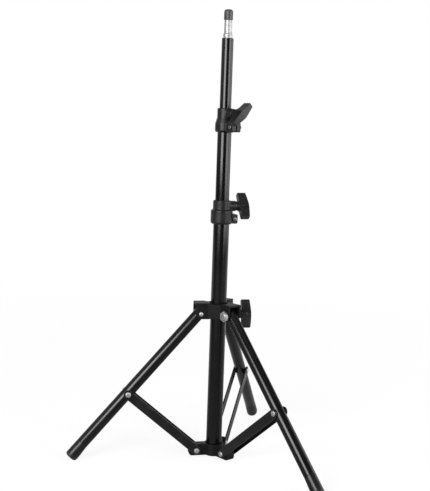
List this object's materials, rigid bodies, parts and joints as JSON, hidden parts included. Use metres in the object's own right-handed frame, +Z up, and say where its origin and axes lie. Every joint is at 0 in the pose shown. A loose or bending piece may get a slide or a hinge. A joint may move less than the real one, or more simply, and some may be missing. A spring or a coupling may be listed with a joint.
{
  "type": "folding light stand",
  "caption": "Folding tripod light stand: telescoping round tubes with clamp collars and T-handle knobs, a sliding leg hub with strap braces, rubber feet and a capped steel spigot.",
  "frame": {"origin": "centre of the flat underside of the plug that closes the column's lower end", "axes": "+Z up along the column; the first leg points out at 47.6 degrees from +X towards -Y, so the view along +Y shows one leg to the right and one to the left"},
  "size_m": [0.3605, 0.3689, 0.6439],
  "materials": {
    "brace_1_left_strap": "glossy black enamel",
    "brace_1_right_strap": "glossy black enamel",
    "brace_1_spider_rivet": "bright zinc-plated steel",
    "brace_2_left_strap": "glossy black enamel",
    "brace_2_right_strap": "glossy black enamel",
    "brace_2_spider_rivet": "bright zinc-plated steel",
    "brace_3_left_strap": "glossy black enamel",
    "brace_3_right_strap": "glossy black enamel",
    "brace_3_spider_rivet": "bright zinc-plated steel",
    "column_end_plug": "satin black moulded plastic",
    "column_tube": "glossy black enamel",
    "hub": "satin black moulded plastic",
    "hub_knob_handle": "satin black moulded plastic",
    "hub_knob_nut": "bright zinc-plated steel",
    "hub_knob_screw": "bright zinc-plated steel",
    "leg_1_brace_rivet": "bright zinc-plated steel",
    "leg_1_foot": "matt black rubber",
    "leg_1_pivot_bolt": "bright zinc-plated steel",
    "leg_1_pivot_nut": "bright zinc-plated steel",
    "leg_1_tube": "glossy black enamel",
    "leg_2_brace_rivet": "bright zinc-plated steel",
    "leg_2_foot": "matt black rubber",
    "leg_2_pivot_bolt": "bright zinc-plated steel",
    "leg_2_pivot_nut": "bright zinc-plated steel",
    "leg_2_tube": "glossy black enamel",
    "leg_3_brace_rivet": "bright zinc-plated steel",
    "leg_3_foot": "matt black rubber",
    "leg_3_pivot_bolt": "bright zinc-plated steel",
    "leg_3_pivot_nut": "bright zinc-plated steel",
    "leg_3_tube": "glossy black enamel",
    "lower_spider": "satin black moulded plastic",
    "mid_collar": "satin black moulded plastic",
    "mid_collar_nut": "blackened steel",
    "mid_collar_screw": "blackened steel",
    "mid_knob_handle": "satin black moulded plastic",
    "mid_knob_nut": "bright zinc-plated steel",
    "mid_knob_screw": "bright zinc-plated steel",
    "mid_tube": "glossy black enamel",
    "mid_tube_end_plug": "satin black moulded plastic",
    "spigot": "bright zinc-plated steel",
    "spigot_cap": "matt black rubber",
    "top_collar": "satin black moulded plastic",
    "top_collar_nut": "blackened steel",
    "top_collar_screw": "blackened steel",
    "top_knob_handle": "satin black moulded plastic",
    "top_knob_nut": "bright zinc-plated steel",
    "top_knob_screw": "bright zinc-plated steel",
    "top_tube": "glossy black enamel",
    "top_tube_guide": "satin black moulded plastic"
  },
  "bodies": {
    "column": {"column_tube": "column_tube", "column_end_plug": "column_end_plug", "lower_spider": "lower_spider", "mid_collar": "mid_collar", "mid_collar_screw": "mid_collar_screw", "mid_collar_nut": "mid_collar_nut", "mid_knob_nut": "mid_knob_nut"},
    "mid_section": {"mid_tube": "mid_tube", "mid_tube_end_plug": "mid_tube_end_plug", "top_collar": "top_collar", "top_collar_screw": "top_collar_screw", "top_collar_nut": "top_collar_nut", "top_knob_nut": "top_knob_nut"},
    "top_section": {"top_tube": "top_tube", "top_tube_guide": "top_tube_guide", "spigot": "spigot"},
    "spigot_cap": {"spigot_cap": "spigot_cap"},
    "mid_knob": {"mid_knob_handle": "mid_knob_handle", "mid_knob_screw": "mid_knob_screw"},
    "top_knob": {"top_knob_handle": "top_knob_handle", "top_knob_screw": "top_knob_screw"},
    "hub_knob": {"hub_knob_handle": "hub_knob_handle", "hub_knob_screw": "hub_knob_screw"},
    "hub": {"hub": "hub", "hub_knob_nut": "hub_knob_nut", "leg_1_pivot_bolt": "leg_1_pivot_bolt", "leg_1_pivot_nut": "leg_1_pivot_nut", "leg_2_pivot_bolt": "leg_2_pivot_bolt", "leg_2_pivot_nut": "leg_2_pivot_nut", "leg_3_pivot_bolt": "leg_3_pivot_bolt", "leg_3_pivot_nut": "leg_3_pivot_nut"},
    "leg_1": {"leg_1_tube": "leg_1_tube", "leg_1_foot": "leg_1_foot", "leg_1_brace_rivet": "leg_1_brace_rivet"},
    "brace_1": {"brace_1_left_strap": "brace_1_left_strap", "brace_1_right_strap": "brace_1_right_strap", "brace_1_spider_rivet": "brace_1_spider_rivet"},
    "leg_2": {"leg_2_tube": "leg_2_tube", "leg_2_foot": "leg_2_foot", "leg_2_brace_rivet": "leg_2_brace_rivet"},
    "brace_2": {"brace_2_left_strap": "brace_2_left_strap", "brace_2_right_strap": "brace_2_right_strap", "brace_2_spider_rivet": "brace_2_spider_rivet"},
    "leg_3": {"leg_3_tube": "leg_3_tube", "leg_3_foot": "leg_3_foot", "leg_3_brace_rivet": "leg_3_brace_rivet"},
    "brace_3": {"brace_3_left_strap": "brace_3_left_strap", "brace_3_right_strap": "brace_3_right_strap", "brace_3_spider_rivet": "brace_3_spider_rivet"}
  },
  "joints": [
    {"name": "leg_fold", "type": "hinge", "parent": "column", "child": "brace_1", "pos_m": [0.01854, -0.02031, 0.0085], "axis": [-0.7385, -0.6743, 0], "range_deg": [0, 49.56]},
    {"name": "leg_1_brace_pivot", "type": "hinge", "parent": "brace_1", "child": "leg_1", "pos_m": [0.08783, -0.09619, 0.09606], "axis": [0.7385, 0.6743, 0], "range_deg": [0, 90.5]},
    {"name": "leg_1_hub_pivot", "type": "hinge", "parent": "leg_1", "child": "hub", "pos_m": [0.01854, -0.02031, 0.21343], "axis": [0.7385, 0.6743, 0], "range_deg": [-40.9, 0]},
    {"name": "leg_2_hub_pivot", "type": "hinge", "parent": "hub", "child": "leg_2", "pos_m": [0.00831, 0.02621, 0.21343], "axis": [-0.9532, 0.3024, 0], "range_deg": [0, 40.9]},
    {"name": "leg_3_hub_pivot", "type": "hinge", "parent": "hub", "child": "leg_3", "pos_m": [-0.02686, -0.0059, 0.21343], "axis": [0.2147, -0.9767, 0], "range_deg": [0, 40.9]},
    {"name": "leg_2_brace_pivot", "type": "hinge", "parent": "leg_2", "child": "brace_2", "pos_m": [0.03939, 0.12416, 0.09606], "axis": [-0.9532, 0.3024, 0], "range_deg": [-90.5, 0]},
    {"name": "leg_3_brace_pivot", "type": "hinge", "parent": "leg_3", "child": "brace_3", "pos_m": [-0.12722, -0.02797, 0.09606], "axis": [0.2147, -0.9767, 0], "range_deg": [-90.5, 0]},
    {"name": "mid_section_slide", "type": "slide", "parent": "column", "child": "mid_section", "axis": [0, 0, 1], "range_m": [-0.094, 0.14]},
    {"name": "top_section_slide", "type": "slide", "parent": "mid_section", "child": "top_section", "axis": [0, 0, 1], "range_m": [-0.09, 0.16]},
    {"name": "spigot_cap_pull", "type": "slide", "parent": "top_section", "child": "spigot_cap", "axis": [0, 0, 1], "range_m": [0, 0.03]},
    {"name": "mid_knob_turn", "type": "hinge", "parent": "column", "child": "mid_knob", "pos_m": [0.01976, 0.0068, 0.369], "axis": [0.9455, 0.3256, 0], "range_deg": [0, 360]},
    {"name": "top_knob_turn", "type": "hinge", "parent": "mid_section", "child": "top_knob", "pos_m": [0.01368, -0.0152, 0.499], "axis": [0.6691, -0.7431, 0], "range_deg": [0, 360]},
    {"name": "hub_knob_turn", "type": "hinge", "parent": "hub", "child": "hub_knob", "pos_m": [0.02901, 0.00638, 0.21143], "axis": [0.9767, 0.2147, 0], "range_deg": [0, 360]}
  ],
  "couplings": [
    {"joint": "leg_1_brace_pivot", "follows": "leg_fold", "ratio": 1.8221},
    {"joint": "leg_1_hub_pivot", "follows": "leg_fold", "ratio": -0.82214},
    {"joint": "leg_2_hub_pivot", "follows": "leg_fold", "ratio": 0.82214},
    {"joint": "leg_3_hub_pivot", "follows": "leg_fold", "ratio": 0.82214},
    {"joint": "leg_2_brace_pivot", "follows": "leg_fold", "ratio": -1.8221},
    {"joint": "leg_3_brace_pivot", "follows": "leg_fold", "ratio": -1.8221}
  ]
}
